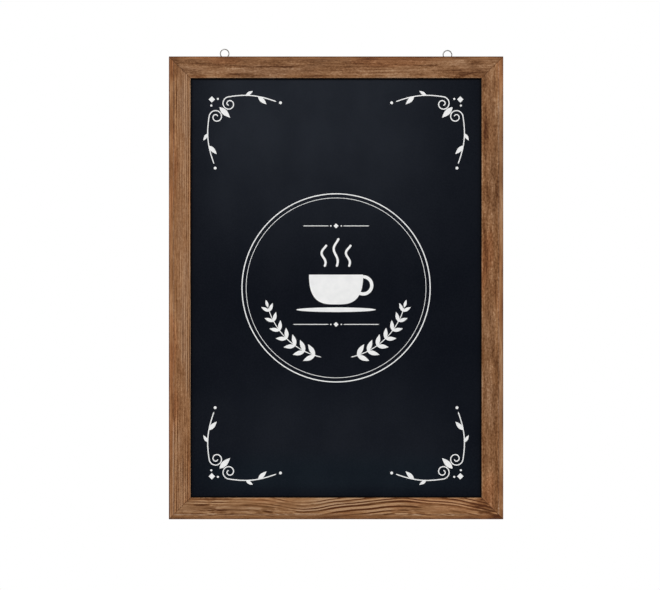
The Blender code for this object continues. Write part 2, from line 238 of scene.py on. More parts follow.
def dress(tree, shader, colour, rough, height, relief):
    # colour, roughness and a bump whose full height is the relief, in metres
    feed(tree, shader.inputs["Base Color"], colour)
    feed(tree, shader.inputs["Roughness"], rough)
    bump = addNode(tree, "Bump", {"Height": height, "Distance": relief}).outputs[0]
    feed(tree, shader.inputs["Normal"], bump)


# how often each kind of noise changes, per metre along, across and into the wood
pineNoise = {
    "sway": (5.5, 9, 9), "ripple": (26, 90, 90), "broad fibre": (11, 330, 330),
    "fine fibre": (55, 2300, 2300), "clouds": (13, 85, 85), "mottle": (190, 330, 330), "hue": (7, 34, 34),
    "ring show": (6, 40, 40), "pores": (85, 1500, 1500), "scuffs": (330, 160, 160), "spots": (34, 130, 130),
}
ringInputs = {
    "Place": (0, 0, 0), "Shift": (0, 0, 0), "Centre Across": -0.05, "Centre Depth": 0.03,
    "Spacing": 0.003, "Sway": 0.004, "Ripple": 0.0008, "Grain Line": 0.0,
}
growth = {"weather": 0.45, "lean years": 1.6, "late wood": (0.35, 0.86, 0.9, 1.0)}


def growthRingsGroup():
    # Every ring is a shell of equal distance from the tree's own centre line, which runs nearly along the
    # rail and sways. The shells come out on the face as straight lines, waves or arches.
    gives = {"Late Wood": "Float", "Ring Tone": "Float"}
    tree, given, result = newGroup("growth rings", ringInputs, gives)
    split = parted(tree, given["Place"])
    seeded = vectorCalc(tree, "ADD", given["Place"], given["Shift"])[0]
    swaying = stretched(tree, seeded, pineNoise["sway"])
    slow = addNode(tree, "TexNoise", {"Vector": swaying, "Scale": 1.0, "Detail": 1.5})
    bend = addNode(tree, "SeparateColor", {0: slow.outputs[1]}).outputs
    ripple = noise(tree, stretched(tree, seeded, pineNoise["ripple"]), 2.0)

    centre = calc(tree, "ADD", given["Centre Across"], given["Grain Line"])
    across = calc(tree, "SUBTRACT", split[1], centre)
    across = timesPlus(tree, centred(tree, bend[0]), given["Sway"], across)
    depth = calc(tree, "SUBTRACT", split[2], given["Centre Depth"])
    depth = timesPlus(tree, centred(tree, bend[1]), given["Sway"], depth)
    radius = calc(tree, "SQRT", timesPlus(tree, across, across, times(tree, depth, depth)))
    radius = timesPlus(tree, centred(tree, ripple), given["Ripple"], radius)

    # good and lean years spread the rings out or crowd them
    turns = calc(tree, "DIVIDE", radius, given["Spacing"])
    feeds = {"W": times(tree, turns, growth["weather"]), "Scale": 1.0}
    weather = addNode(tree, "TexNoise", feeds, noise_dimensions="1D").outputs[0]
    turns = timesPlus(tree, weather, growth["lean years"], turns)
    late = band(tree, calc(tree, "FRACT", turns), growth["late wood"])
    year = addNode(tree, "TexWhiteNoise", {"W": calc(tree, "FLOOR", turns)}, noise_dimensions="1D").outputs[0]
    feed(tree, result["Late Wood"], late)
    feed(tree, result["Ring Tone"], year)
    return tree


# the stain from the darkest tone to the lightest
woodTones = [
    (0.0, (0.083, 0.024, 0.0055, 1)), (0.25, (0.158, 0.061, 0.0195, 1)), (0.5, (0.25, 0.11, 0.043, 1)),
    (0.75, (0.35, 0.171, 0.077, 1)), (1.0, (0.47, 0.264, 0.14, 1)),
]
pineStains = {
    "reddened": (1.05, 0.94, 0.87, 1), "greyed": (0.96, 1.0, 1.08, 1), "late wood": (1.08, 0.9, 0.58, 1),
    "bevel": (1.03, 0.98, 0.89, 1), "crease": (0.93, 1.02, 1.24, 1), "beside": (1.0, 0.95, 0.84, 1),
    "inside": (1.0, 0.95, 0.84, 1),
}
# soft steps across the face from its outer edge, away from the mitre, and down from the front
pineSteps = {
    "outer edge": (0.0004, 0.0026), "bevel": (0.0064, 0.0078), "crease": (0.0072, 0.008, 0.009, 0.01),
    "beside": (0.0106, 0.0117, 0.0127, 0.0138), "inwards": (0.006, 0.034),
    "inside": (0.0344, 0.0352, 0.0364, 0.0372), "inner edge": (0.0366, 0.0384),
    "mitre": (0.0004, 0.0022), "front": (0.0015, 0.004),
}
# soft steps in the noises: from, to, and for some the shares at both ends
pineShown = {
    "pores": (0.6, 0.74), "scuffs": (0.5, 0.66), "scuffed clouds": (0.2, 1.2), "reddened": (0.1, 1.4),
    "greyed": (-0.1, -1.4), "rings": (-0.9, 0.9, 0.25, 1.0), "years": (0.0, 1.0, 0.6, 1.15),
}
# what each of these adds to the tone, the roughness and the height
pineTone = {
    "fine fibre": 0.08, "pores": -0.3, "outer edge": -0.42, "inner edge": 0.24, "mitre": -0.17,
    "early wood": 0.36, "planed rings": -0.7,
}
pineRoughness = {"broad fibre": 0.03, "late wood": -0.1, "scuffs": 0.12}
pineHeight = {"late wood": 0.4, "fine fibre": 0.14, "pores": -0.7, "broad fibre": 0.08}
pineFinish = {"roughness": 0.6, "sheen": 0.15, "relief": 0.0002, "late share": 0.75, "late curve": 2.2}


def stainedPineGroup(growthRings):
    # Place is along the rail from its middle, across the face from the outer edge, and down from the face.
    # All that darkens or lightens the wood is added up as one tone, which the colour ramp turns to stain.
    tree, given, result = newGroup(
        "stained pine",
        {**ringInputs, "Half Length": 0.3, "Spots": 0.0, "Calm": 0.0, "Tone": 0.5, "Rings": 0.3,
         "Fibres": 0.1, "Clouds": 0.1, "Mottle": 0.05, "Scuffs": 0.2, "Inner Tone": 0.0, "Bevel Tone": 0.1,
         "Reddening": 0.5, "Crease": 1.0, "Tint": (1, 1, 1, 1)},
        {"Color": "Color", "Roughness": "Float", "Height": "Float"},
    )
    place = given["Place"]
    seeded = vectorCalc(tree, "ADD", place, given["Shift"])[0]
    along, across, depth = parted(tree, place)
    feeds = {label: given[label] for label in ringInputs}
    rings = addNode(tree, "Group", feeds, node_tree=growthRings).outputs

    def varied(kind, detail, roughness=0.5, swing=9.0):
        # noise about nought, with a spread of about one
        value = noise(tree, stretched(tree, seeded, pineNoise[kind]), detail, roughness)
        return times(tree, centred(tree, value), swing)

    broadFibre = varied("broad fibre", 3.0, 0.65)
    fineFibre = varied("fine fibre", 2.0, 0.6)
    clouds = varied("clouds", 3.0, 0.6)
    mottle = varied("mottle", 2.0, 0.6)
    hue = varied("hue", 2.0)
    ringShow = varied("ring show", 2.0)
    pores = rise(tree, noise(tree, stretched(tree, seeded, pineNoise["pores"]), 1.0), *pineShown["pores"])
    crossing = noise(tree, stretched(tree, seeded, pineNoise["scuffs"]), 2.0, 0.6)
    bevel = rise(tree, across, *pineSteps["bevel"], 1.0, 0.0)
    face = inverted(tree, bevel)
    front = rise(tree, depth, *pineSteps["front"], 1.0, 0.0)
    scuffed = rise(tree, clouds, *pineShown["scuffed clouds"])
    scuffs = times(tree, rise(tree, crossing, *pineShown["scuffs"]), scuffed, face, front)

    # rings show unevenly, and little where the bevel was planed
    ringDepth = times(
        tree, rise(tree, ringShow, *pineShown["rings"]), given["Rings"],
        timesPlus(tree, bevel, pineTone["planed rings"], 1.0),
        rise(tree, rings["Ring Tone"], *pineShown["years"]), inverted(tree, given["Calm"]),
    )
    tone = calc(tree, "SUBTRACT", pineTone["early wood"], rings["Late Wood"])
    tone = calc(tree, "ADD", timesPlus(tree, tone, ringDepth, given["Tone"]), given["Spots"])

    layers = {
        "broad fibre": broadFibre, "fine fibre": fineFibre, "pores": pores, "late wood": rings["Late Wood"],
        "clouds": clouds, "mottle": times(tree, mottle, face), "scuffs": scuffs,
        "inwards": rise(tree, across, *pineSteps["inwards"]), "bevel": times(tree, bevel, front),
    }
    strengths = {
        "broad fibre": given["Fibres"], "fine fibre": pineTone["fine fibre"], "pores": pineTone["pores"],
        "clouds": given["Clouds"], "mottle": given["Mottle"], "scuffs": given["Scuffs"],
        "inwards": given["Inner Tone"], "bevel": given["Bevel Tone"],
    }
    tone = layered(tree, tone, layers, strengths)

    # the tone is darker along the outer edge and lighter along the inner edge, and stain gathers in the open
    # ends at the mitres
    fromMitre = calc(tree, "SUBTRACT", across, given["Half Length"])
    fromMitre = calc(tree, "ABSOLUTE", calc(tree, "ADD", calc(tree, "ABSOLUTE", along), fromMitre))
    outerEdge = rise(tree, across, *pineSteps["outer edge"], pineTone["outer edge"], 0.0)
    innerEdge = rise(tree, across, *pineSteps["inner edge"], 0.0, pineTone["inner edge"])
    tone = timesPlus(tree, outerEdge, front, tone)
    tone = timesPlus(tree, innerEdge, front, tone)
    tone = calc(tree, "ADD", tone, rise(tree, fromMitre, *pineSteps["mitre"], pineTone["mitre"], 0.0))

    ramp = addNode(tree, "ValToRGB", {0: tone})
    steps = ramp.color_ramp.elements
    steps[0].position, steps[0].color = woodTones[0]
    steps[1].position, steps[1].color = woodTones[-1]
    for position, stain in woodTones[1:-1]:
        steps.new(position).color = stain
    stained = tinted(tree, ramp.outputs[0], given["Tint"])
    colour = stained
    for change in ("reddened", "greyed"):
        amount = times(tree, rise(tree, hue, *pineShown[change]), given["Reddening"])
        colour = blend(tree, amount, colour, tinted(tree, stained, pineStains[change]))

    # the late wood takes the stain redder, the darkest lines most of all
    late = times(tree, rings["Late Wood"], ringDepth, pineFinish["late share"])
    late = calc(tree, "POWER", late, pineFinish["late curve"])
    colour = blend(tree, late, colour, tinted(tree, colour, pineStains["late wood"]))

    # The bevel is warmer than the face, and the stain is rubbed grey where the two meet. A warm line runs
    # beside that, and another one just inside the inner edge.
    plain = colour
    shown = times(tree, given["Crease"], front)
    colour = blend(tree, layers["bevel"], plain, tinted(tree, plain, pineStains["bevel"]))
    for name, share in (("crease", shown), ("beside", shown), ("inside", front)):
        amount = times(tree, band(tree, across, pineSteps[name]), share)
        colour = blend(tree, amount, colour, tinted(tree, plain, pineStains[name]))

    feed(tree, result["Color"], colour)
    feed(tree, result["Roughness"], layered(tree, pineFinish["roughness"], layers, pineRoughness))
    feed(tree, result["Height"], layered(tree, 0.0, layers, pineHeight))
    return tree


grainReach = 0.05
spotRim = {"unevenness": 2.4, "fade": (0.25, 1.15)}


def grainLine(tree, along, halfLength, line):
    # how far the grain strays sideways along the rail, as a smooth curve through the given points
    curve = addNode(tree, "FloatCurve")
    points = curve.mapping.curves[0].points
    places = [(0.5 + at / halfLength / 2, 0.5 + aside / grainReach / 2) for at, aside in line]
    points[0].location, points[1].location = places[0], places[-1]
    for place in places[1:-1]:
        points.new(*place)
    curve.mapping.update()
    feed(tree, curve.inputs["Value"], timesPlus(tree, along, 0.5 / halfLength, 0.5))
    return timesPlus(tree, curve.outputs[0], 2 * grainReach, -grainReach)


def softSpots(tree, place, spots):
    # each spot is an ellipse with an uneven soft rim
    uneven = noise(tree, stretched(tree, place, pineNoise["spots"]), 3.0, 0.6)
    uneven = times(tree, centred(tree, uneven), spotRim["unevenness"])
    total = 0.0
    for along, across, halfLong, halfWide, strength in spots:
        offset = vectorCalc(tree, "SUBTRACT", place, (along, across, 0))[0]
        offset = stretched(tree, offset, (1 / halfLong, 1 / halfWide, 0))
        distance = calc(tree, "ADD", vectorCalc(tree, "LENGTH", offset)[1], uneven)
        total = calc(tree, "ADD", total, rise(tree, distance, *spotRim["fade"], strength, 0.0))
    return total


def pineMaterial(name, group, wood):
    # the mapping lays the rail's length on X, the way in from its outer edge on Y and the depth on Z
    material, tree, shader, place = newMaterial(name, Specular_IOR_Level=pineFinish["sheen"])
    outwards = Vector(wood["outwards"])
    lengthwise = Vector((outwards.z, 0, -outwards.x))
    turn = Matrix((lengthwise, -outwards, Vector((0, 1, 0))))
    reach, halfLength = (halfHeight, halfWidth) if outwards.z else (halfWidth, halfHeight)
    start = middle + outwards * reach + Vector((0, frontY, 0))
    feeds = {"Vector": place, "Location": -(turn @ start), "Rotation": turn.to_euler()}
    place = addNode(tree, "Mapping", feeds).outputs[0]
    along = parted(tree, place)[0]
    feeds = {
        "Place": place, "Half Length": halfLength,
        "Grain Line": grainLine(tree, along, halfLength, wood["grain"]),
        "Spots": softSpots(tree, place, wood["spots"]), "Calm": softSpots(tree, place, wood["calm"]),
        **wood["look"],
    }
    pine = addNode(tree, "Group", feeds, node_tree=group).outputs
    dress(tree, shader, pine["Color"], pine["Roughness"], pine["Height"], pineFinish["relief"])
    return material


# Grain points are (along, aside). Spots and calm zones are (along, across, half length, half width,
# strength): a spot's is added to the tone, and a calm zone's weakens the rings, or deepens them below nought.
railWoods = {
    "top_rail": {
        "outwards": (0, 0, 1),
        "look": {
            "Shift": (3.1, 0.4, 1.7), "Centre Across": 0.03, "Centre Depth": 0.075, "Spacing": 0.0046,
            "Sway": 0.014, "Ripple": 0.002, "Tone": 0.455, "Rings": 0.44, "Fibres": 0.12, "Clouds": 0.11,
            "Mottle": 0.11, "Scuffs": 0.23, "Inner Tone": 0.08, "Bevel Tone": -0.02, "Reddening": 0.9,
            "Crease": 0.2, "Tint": (1.0, 1.05, 1.13, 1),
        },
        "grain": [(-0.3, 0.0), (-0.05, 0.004), (0.12, 0.0), (0.22, -0.008), (0.3, -0.02)],
        "spots": [
            (-0.262, 0.011, 0.024, 0.008, -0.18), (-0.22, 0.0195, 0.046, 0.004, -0.14),
            (-0.222, 0.0315, 0.05, 0.007, 0.22), (-0.105, 0.009, 0.036, 0.008, -0.16),
            (-0.045, 0.021, 0.03, 0.005, 0.12), (0.045, 0.011, 0.036, 0.008, -0.26),
            (0.09, 0.031, 0.034, 0.007, -0.18), (0.155, 0.021, 0.034, 0.008, 0.2),
            (0.215, 0.0135, 0.046, 0.008, 0.3), (0.221, 0.0335, 0.044, 0.009, -0.38),
            (-0.29, 0.013, 0.012, 0.009, -0.22), (-0.095, 0.017, 0.028, 0.005, -0.12),
            (-0.08, 0.0345, 0.026, 0.004, 0.16), (0.066, 0.006, 0.016, 0.005, -0.14),
            (0.0, 0.0285, 0.018, 0.004, 0.15), (-0.24, 0.035, 0.026, 0.004, 0.14),
            (0.055, 0.0215, 0.055, 0.0012, 0.22), (0.05, 0.0242, 0.05, 0.0012, -0.2),
            (0.065, 0.027, 0.055, 0.0012, 0.22), (0.06, 0.0298, 0.05, 0.0012, -0.2),
            (0.07, 0.0324, 0.05, 0.0012, 0.18),
        ],
        "calm": [(-0.22, 0.026, 0.052, 0.016, 0.9), (0.215, 0.014, 0.04, 0.01, 0.8)],
    },
    "bottom_rail": {
        "outwards": (0, 0, -1),
        "look": {
            "Shift": (0.35, 2.2, 0.9), "Centre Across": -0.045, "Centre Depth": 0.03, "Spacing": 0.0061,
            "Sway": 0.01, "Ripple": 0.0018, "Tone": 0.55, "Rings": 1.8, "Fibres": 0.1, "Clouds": 0.12,
            "Mottle": 0.02, "Scuffs": 0.05, "Inner Tone": 0.02, "Bevel Tone": -0.02, "Reddening": 0.9,
            "Tint": (1.0, 1.045, 1.05, 1),
        },
        "grain": [
            (-0.302, -0.018), (-0.24, -0.005), (-0.205, 0.001), (-0.16, 0.004), (-0.125, 0.008),
            (-0.1, 0.008), (-0.06, 0.004), (0.0, -0.003), (0.055, -0.01), (0.08, -0.008), (0.11, -0.002),
            (0.15, 0.002), (0.22, 0.003), (0.302, 0.002),
        ],
        "spots": [
            (0.262, 0.022, 0.034, 0.014, 0.12), (0.22, 0.026, 0.014, 0.003, -0.16),
            (0.195, 0.02, 0.028, 0.003, -0.12), (0.15, 0.027, 0.026, 0.003, -0.24),
            (0.131, 0.019, 0.018, 0.004, -0.18), (0.1, 0.023, 0.02, 0.012, -0.07),
            (-0.01, 0.03, 0.06, 0.01, 0.1), (-0.15, 0.012, 0.06, 0.009, 0.08),
            (-0.18, 0.026, 0.034, 0.003, -0.16), (-0.256, 0.03, 0.028, 0.011, -0.5),
            (-0.272, 0.019, 0.024, 0.01, -0.5), (-0.285, 0.004, 0.018, 0.006, -0.25),
            (0.01, 0.005, 0.022, 0.006, -0.16), (-0.085, 0.007, 0.014, 0.007, -0.16),
            (-0.13, 0.024, 0.03, 0.003, -0.22), (0.25, 0.029, 0.018, 0.006, 0.2),
            (-0.257, 0.035, 0.016, 0.005, -0.3), (-0.295, 0.004, 0.014, 0.006, -0.26),
            (0.0, 0.035, 0.38, 0.0026, -0.14), (0.0, 0.0278, 0.38, 0.005, 0.07),
        ],
        "calm": [
            (-0.17, 0.008, 0.08, 0.024, 0.9), (0.262, 0.018, 0.05, 0.024, 0.95),
            (0.0, 0.001, 0.38, 0.017, 0.85), (0.093, 0.02, 0.026, 0.02, 0.7),
            (0.17, 0.024, 0.07, 0.02, 0.65), (-0.03, 0.03, 0.1, 0.014, -1.25),
            (-0.26, 0.026, 0.036, 0.016, 0.5), (0.0, 0.039, 0.4, 0.0035, 0.8),
        ],
    },
    "left_stile": {
        "outwards": (-1, 0, 0),
        "look": {
            "Shift": (5.3, 1.1, 0.2), "Centre Across": -0.11, "Centre Depth": 0.012, "Spacing": 0.0032,
            "Sway": 0.003, "Ripple": 0.0007, "Tone": 0.595, "Rings": 1.6, "Fibres": 0.13, "Clouds": 0.1,
            "Mottle": 0.08, "Scuffs": 0.1, "Inner Tone": 0.02, "Bevel Tone": 0.01, "Reddening": 1.0,
        },
        "grain": [(-0.418, 0.0), (-0.2, 0.001), (0.1, -0.001), (0.418, 0.001)],
        "spots": [
            (0.393, 0.01, 0.026, 0.01, -0.22), (0.292, 0.008, 0.026, 0.007, -0.18),
            (0.276, 0.028, 0.018, 0.006, -0.1), (0.35, 0.033, 0.045, 0.007, 0.24),
            (0.34, 0.009, 0.044, 0.008, -0.17), (-0.215, 0.01, 0.034, 0.008, -0.16),
            (0.08, 0.035, 0.2, 0.0045, 0.12), (-0.362, 0.0345, 0.016, 0.005, 0.25),
            (0.059, 0.0145, 0.01, 0.004, -0.12), (-0.077, 0.0145, 0.01, 0.005, -0.12),
            (-0.108, 0.015, 0.008, 0.004, -0.12), (-0.15, 0.019, 0.014, 0.008, -0.1),
            (-0.3, 0.019, 0.02, 0.009, 0.12), (-0.268, 0.01, 0.024, 0.006, -0.13),
            (-0.29, 0.033, 0.034, 0.006, -0.2), (0.0, 0.023, 0.15, 0.03, 0.06),
            (-0.28, 0.023, 0.15, 0.03, -0.06), (0.0, 0.0352, 0.5, 0.0024, 0.13),
            (0.0, 0.0278, 0.5, 0.0028, -0.07),
        ],
        "calm": [
            (0.02, 0.018, 0.23, 0.024, 0.55), (-0.3, 0.018, 0.022, 0.012, 0.8),
            (0.25, 0.008, 0.14, 0.01, 0.5), (-0.39, 0.018, 0.05, 0.02, 0.35),
        ],
    },
    "right_stile": {
        "outwards": (1, 0, 0),
        "look": {
            "Shift": (7.7, 3.3, 2.6), "Centre Across": 0.012, "Centre Depth": 0.13, "Spacing": 0.0062,
            "Sway": 0.016, "Ripple": 0.004, "Tone": 0.525, "Rings": 0.24, "Fibres": 0.06, "Clouds": 0.155,
            "Mottle": 0.14, "Scuffs": 0.34, "Inner Tone": -0.03, "Bevel Tone": 0.225, "Reddening": 1.0,
            "Tint": (1.0, 1.015, 1.03, 1),
        },
        "grain": [(-0.418, 0.0), (-0.2, 0.004), (0.1, -0.003), (0.418, 0.002)],
        "spots": [
            (-0.385, 0.022, 0.036, 0.016, 0.14), (-0.287, 0.0305, 0.034, 0.006, -0.3),
            (-0.175, 0.0335, 0.034, 0.006, -0.26), (-0.2145, 0.0155, 0.026, 0.01, -0.2),
            (-0.32, 0.016, 0.03, 0.009, 0.08), (-0.0485, 0.031, 0.06, 0.005, -0.2),
            (-0.024, 0.015, 0.04, 0.009, -0.1), (0.12, 0.0225, 0.03, 0.009, -0.18),
            (0.199, 0.017, 0.03, 0.01, -0.1), (0.26, 0.018, 0.06, 0.01, 0.08),
            (-0.35, 0.0345, 0.022, 0.006, 0.28), (-0.335, 0.005, 0.06, 0.006, 0.14),
            (0.065, 0.035, 0.034, 0.005, 0.16), (0.25, 0.035, 0.034, 0.005, 0.24),
            (0.398, 0.012, 0.022, 0.01, -0.2), (0.41, 0.003, 0.014, 0.005, -0.28),
        ],
        "calm": [(0.0, 0.02, 0.05, 0.012, 0.3)],
    },
}

pineGroup = stainedPineGroup(growthRingsGroup())
for railName, wood in railWoods.items():
    looksName = "stained pine, " + railName.replace("_", " ")
    smoothedCopy(railName, railName + "_wood", pineMaterial(looksName, pineGroup, wood))
print("wooden frame done")


glueLine = {
    "thickness": 0.00026, "set back": 0.0005, "depth": 0.0044, "bevel": (0.007, 0.0022),
    "dark": (0.03, 0.014, 0.007, 1), "light": (0.07, 0.034, 0.016, 1), "grains": 900.0,
    "lighter": (0.35, 0.65), "roughness": 0.6, "relief": 0.0001,
}


def glueMaterial():
    material, tree, shader, place = newMaterial("dark glue")
    grains = noise(tree, place, 3.0, 0.6, glueLine["grains"])
    colour = blend(tree, rise(tree, grains, *glueLine["lighter"]), glueLine["dark"], glueLine["light"])
    dress(tree, shader, colour, glueLine["roughness"], grains, glueLine["relief"])
    return material


def glueFilms():
    # the moulding's front outline, a little smaller, carried across the thin gap of each mitre
    inset = glueLine["set back"]
    bevelWidth, bevelDepth = glueLine["bevel"]
    outline = np.array([
        (inset, bevelDepth + inset), (bevelWidth, inset), (faceWidth - inset, inset),
        (faceWidth - inset, glueLine["depth"]), (inset, glueLine["depth"]),
    ])
    material = glueMaterial()
    for upName, up in (("top", 1), ("bottom", -1)):
        for acrossName, across in (("left", -1), ("right", 1)):
            way = np.array((across, 0, -up)) / math.sqrt(2) * glueLine["thickness"] / 2
            film = np.stack([
                across * (halfWidth - outline[:, 0]),
                frontY + outline[:, 1],
                middle.z + up * (halfHeight - outline[:, 0]),
            ], axis=1)
            points = np.concatenate([film - way, film + way])
            faces = gridFaces(2, len(outline))
            newPiece(f"mitre_glue_{upName}_{acrossName}", points.tolist(), faces, material, smooth=False)


glueFilms()
print("mitres glued")


lacquer = {
    "black": (0.0009, 0.0025, 0.0069, 1), "worn black": (0.0027, 0.0044, 0.0092, 1),
    # painted sheen: lighter colours standing in for the lamps' reflection on the lacquer
    "paintedSheen": (0.03, 0.036, 0.048, 1), "low haze": (0.018, 0.035, 0.048, 1),
    # painted shadow of the frame's lip: its colour, its share and where it fades out
    "paintedLipShadow": (0.0008, 0.0005, 0.0005, 1), "seam share": 0.9, "seam ends": (0.001, 0.0042),
    "clouds": (14, 14, 10), "roller": (240, 240, 60), "grit": 1700.0, "mottle": 330.0, "mottle swing": 2.4,
    "sheen": 0.1, "roughness": 0.42, "cloud roughness": 0.1, "grit roughness": 0.16, "roller height": 0.6,
    "relief": 0.00006, "worn": (0.33, 0.67),
}
# Where the painted sheen (the lamps' reflection painted in as lighter colour) starts and ends, up or to the
# right of the board's middle, and how much of it there is. It lies thickest left of the middle in the upper
# half, and again fainter and cooler near the foot.
paintedSheenLayout = {
    "everywhere": 0.03, "upper": (-0.03, 0.3), "upper share": 0.39, "left": (-openHalfWidth, -0.19),
    "left share": 0.35, "right": (0.04, 0.3), "right share": 0.1, "lower": (-0.25, -0.1),
    "lower share": 0.16, "foot": (-0.377, -0.35), "lower sides": (0.12, 0.3), "lower side share": 0.1,
    "cooler": (-0.33, -0.28), "patchiness": (0.25, 0.7, 0.75, 1.0), "back share": 0.3,
    "behind face": (0.0005, 0.001), "from frame": (0.0008, 0.0062),
}


def lacquerMaterial():
    material, tree, shader, place = newMaterial("black lacquer", Specular_IOR_Level=lacquer["sheen"])
    cloud = noise(tree, stretched(tree, place, lacquer["clouds"]), 3.0, 0.55)
    grit = noise(tree, place, 2.0, 0.6, lacquer["grit"])
    rolled = noise(tree, stretched(tree, place, lacquer["roller"]), 2.0)   # faint marks of the paint roller
    mottle = centred(tree, noise(tree, place, 2.0, 0.6, lacquer["mottle"]))
    patchy = timesPlus(tree, mottle, lacquer["mottle swing"], cloud)
    colour = blend(tree, rise(tree, patchy, *lacquer["worn"]), lacquer["black"], lacquer["worn black"])

    x, y, z = parted(tree, place)
    up = calc(tree, "SUBTRACT", z, middle.z)
    aside = calc(tree, "ABSOLUTE", x)
    behind = calc(tree, "SUBTRACT", y, panelY)
    # painted sheen: lighter colour standing in for the lamps' reflection, strongest in the upper half
    paintedSheen = calc(tree, "ADD", rise(tree, up, *paintedSheenLayout["upper"], 0.0, paintedSheenLayout["upper share"]), paintedSheenLayout["everywhere"])
    sides = (rise(tree, x, *paintedSheenLayout["left"], paintedSheenLayout["left share"], 1.0),
             rise(tree, x, *paintedSheenLayout["right"], 1.0, paintedSheenLayout["right share"]))
    lower = rise(tree, up, *paintedSheenLayout["lower"], paintedSheenLayout["lower share"], 0.0)
    lower = times(tree, lower, rise(tree, up, *paintedSheenLayout["foot"]))
    lowerSides = rise(tree, aside, *paintedSheenLayout["lower sides"], 1.0, paintedSheenLayout["lower side share"])
    paintedSheen = timesPlus(tree, lower, lowerSides, times(tree, paintedSheen, *sides))
    patches = rise(tree, cloud, *paintedSheenLayout["patchiness"])
    paintedSheen = times(tree, paintedSheen, patches, rise(tree, behind, *paintedSheenLayout["behind face"], 1.0, paintedSheenLayout["back share"]))

    # painted shade: the painted sheen fades out towards the frame, and a painted shadow of the lip lies
    # darkest along it
    fromSides = calc(tree, "SUBTRACT", openHalfWidth, aside)
    fromEnds = calc(tree, "SUBTRACT", openHalfHeight, calc(tree, "ABSOLUTE", up))
    fromFrame = calc(tree, "MINIMUM", fromSides, fromEnds)
    paintedSheen = times(tree, paintedSheen, rise(tree, fromFrame, *paintedSheenLayout["from frame"]))
    hazeColour = blend(tree, rise(tree, up, *paintedSheenLayout["cooler"]), lacquer["low haze"], lacquer["paintedSheen"])
    colour = blend(tree, paintedSheen, colour, hazeColour)
    # a painted shadow of the frame's lip on the panel, darkest right at the frame
    paintedLipShadow = rise(tree, fromFrame, *lacquer["seam ends"], lacquer["seam share"], 0.0)
    colour = blend(tree, paintedLipShadow, colour, lacquer["paintedLipShadow"])
    rough = timesPlus(tree, cloud, lacquer["cloud roughness"], lacquer["roughness"])
    rough = timesPlus(tree, grit, lacquer["grit roughness"], rough)
    height = timesPlus(tree, rolled, lacquer["roller height"], grit)
    dress(tree, shader, colour, rough, height, lacquer["relief"])
    return material


nodes["writing_panel"].data.materials[0] = lacquerMaterial()
print("panel done")


metalNoise = {"clouds": 420.0, "grains": 3800.0, "scratches": (900, 5200, 5200)}
metalShown = {"dull": (0.3, 0.7), "stains": (0.6, 0.72)}
metalRoughness = {"clouds": 0.18, "scratches": 0.12, "stains": 0.4}
metalHeight = {"scratches": 0.5}


def metalWearGroup():
    tree, given, result = newGroup(
        "metal wear",
        {"Place": (0, 0, 0), "Bright": (0.6, 0.6, 0.6, 1), "Dull": (0.4, 0.4, 0.4, 1),
         "Stain": (0.2, 0.15, 0.1, 1), "Stains": 0.1, "Polish": 0.3},
        {"Color": "Color", "Roughness": "Float", "Height": "Float"},
    )
    place = given["Place"]
    clouds = noise(tree, place, 3.0, 0.6, metalNoise["clouds"])
    grains = noise(tree, place, 2.0, 0.6, metalNoise["grains"])
    scratches = noise(tree, stretched(tree, place, metalNoise["scratches"]), 2.0, 0.7)
    colour = blend(tree, rise(tree, clouds, *metalShown["dull"]), given["Bright"], given["Dull"])
    stains = times(tree, rise(tree, clouds, *metalShown["stains"]), given["Stains"])
    layers = {"clouds": clouds, "scratches": scratches, "stains": stains}
    feed(tree, result["Color"], blend(tree, stains, colour, given["Stain"]))
    feed(tree, result["Roughness"], layered(tree, given["Polish"], layers, metalRoughness))
    feed(tree, result["Height"], layered(tree, grains, layers, metalHeight))
    return tree


steels = {
    "plated wire": {
        "Bright": (0.46, 0.45, 0.43, 1), "Dull": (0.34, 0.335, 0.33, 1), "Stains": 0.05, "Polish": 0.24},
    "zinc-plated sheet": {
        "Bright": (0.6, 0.61, 0.6, 1), "Dull": (0.42, 0.43, 0.44, 1), "Stains": 0.12, "Polish": 0.26},
    "plated screw": {
        "Bright": (0.62, 0.6, 0.52, 1), "Dull": (0.44, 0.42, 0.36, 1), "Stains": 0.15, "Polish": 0.2},
    "driven steel": {
        "Bright": (0.46, 0.46, 0.47, 1), "Dull": (0.27, 0.27, 0.28, 1), "Stains": 0.35, "Polish": 0.32},
}
steelRelief = 0.00002


def steelMaterials():
    group = metalWearGroup()
    made = {}
    for name, look in steels.items():
        material, tree, shader, place = newMaterial(name, Metallic=1.0)
        wear = addNode(tree, "Group", {"Place": place, **look}, node_tree=group).outputs
        dress(tree, shader, wear["Color"], wear["Roughness"], wear["Height"], steelRelief)
        made[name] = material
    return made


ringWire = {"steps round the ring": 160, "steps round the wire": 28}


def wireRing(hand, material):
    # a small circle of the wire's radius, carried round a large one in the board's plane
    nodeName = "hanger_ring_" + hand
    low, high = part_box(nodeName)
    wire = (high.y - low.y) / 2
    large = (high.x - low.x) / 2 - wire
    centre = (low + high) / 2
    turn = np.linspace(0, 2 * np.pi, ringWire["steps round the ring"], endpoint=False)[:, None]
    spin = np.linspace(0, 2 * np.pi, ringWire["steps round the wire"], endpoint=False)[None, :]
    reach = large + wire * np.cos(spin)
    points = np.stack(np.broadcast_arrays(
        centre.x + reach * np.cos(turn), centre.y + wire * np.sin(spin), centre.z + reach * np.sin(turn)
    ), axis=-1).reshape(-1, 3)
    faces = gridFaces(turn.size, spin.size, rowsMeet=True)
    piece = newPiece("wire_ring_" + hand, points.tolist(), faces, material, "ring_" + hand)
    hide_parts(nodeName)


steel = steelMaterials()
for hand in ("left", "right"):
    wireRing(hand, steel["plated wire"])
    smoothedCopy("hanger_strap_" + hand, "folded_strap_" + hand, steel["zinc-plated sheet"])
    smoothedCopy("hanger_screw_" + hand, "strap_screw_" + hand, steel["plated screw"])
for nodeName, node in nodes.items():
    if nodeName.startswith(("v_nail", "panel_point")):
        node.data.materials[0] = steel["driven steel"]
print("hangers and fasteners done")


